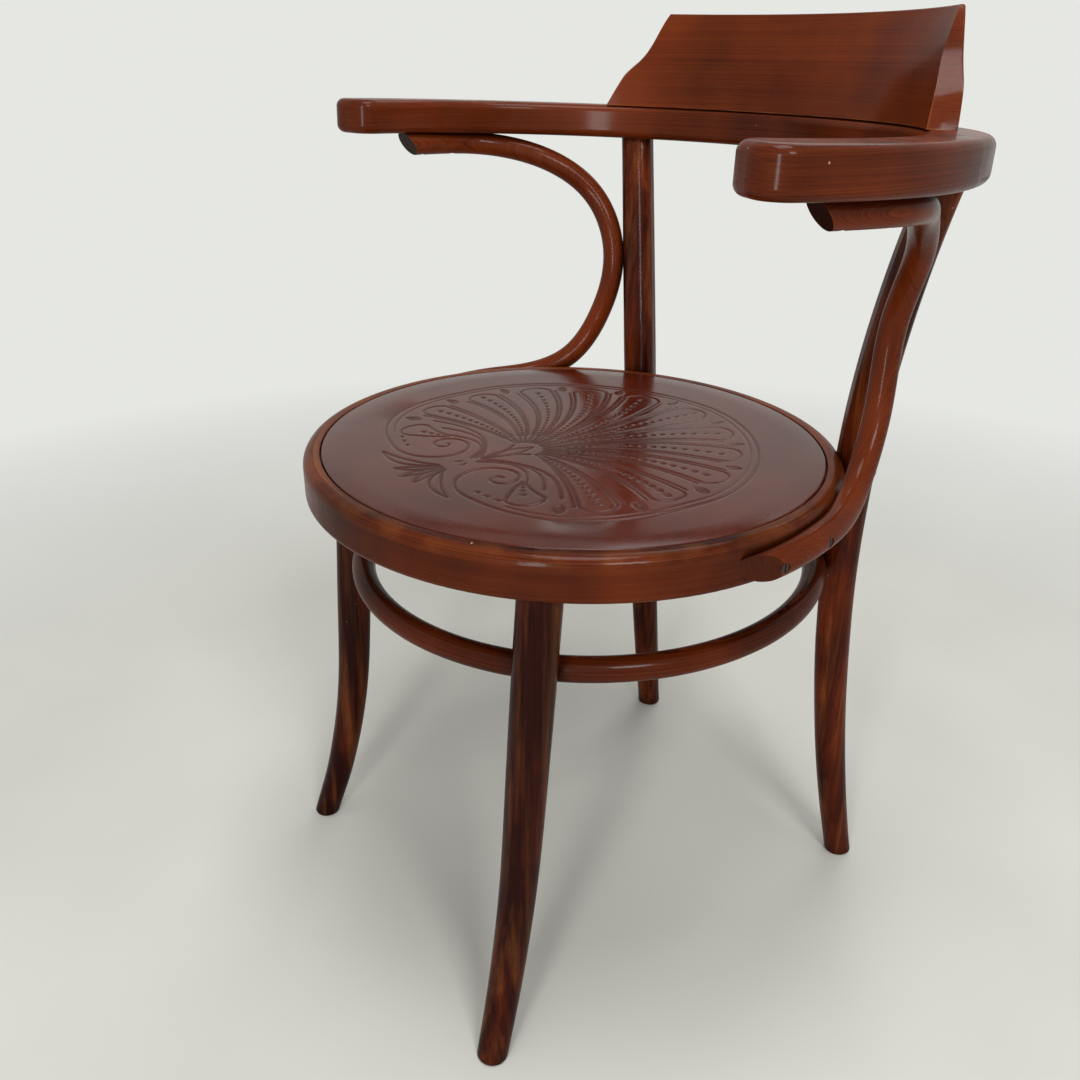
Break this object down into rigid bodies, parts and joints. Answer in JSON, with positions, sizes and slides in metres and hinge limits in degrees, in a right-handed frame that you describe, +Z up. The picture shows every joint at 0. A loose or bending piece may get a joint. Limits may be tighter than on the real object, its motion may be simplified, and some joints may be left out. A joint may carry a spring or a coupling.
{
  "type": "captains chair",
  "caption": "Bent-wood captains chair with a round pressed seat, a horseshoe bow for arms and back, a crest rail and a hoop between the legs.",
  "frame": {"origin": "on the floor, under the middle of the whole chair", "axes": "+Z up, the chair faces -Y, +X towards the right as seen from its front"},
  "size_m": [0.6112, 0.517, 0.7828],
  "materials": {
    "stained_beech": "mahogany-stained bent beech, satin to glossy lacquer, worn lighter on the edges",
    "seat_plywood": "stained plywood with a pressed ornament, satin lacquer",
    "bare_beech": "plain turned beech, unfinished",
    "steel_fasteners": "darkened steel"
  },
  "bodies": {
    "root": {"seat_rim": "stained_beech", "seat_panel": "seat_plywood", "front_leg_right": "stained_beech", "front_leg_left": "stained_beech", "rear_leg_right": "stained_beech", "rear_leg_left": "stained_beech", "leg_ring": "stained_beech", "arm_bow": "stained_beech", "crest_rail": "stained_beech", "crest_dowels": "bare_beech", "arm_support_right": "stained_beech", "arm_support_left": "stained_beech", "ring_screws": "steel_fasteners", "support_rim_screws": "steel_fasteners", "support_arm_screws": "steel_fasteners", "rear_leg_bolts": "steel_fasteners", "rear_leg_washers": "steel_fasteners", "rear_leg_nuts": "steel_fasteners"}
  },
  "joints": []
}
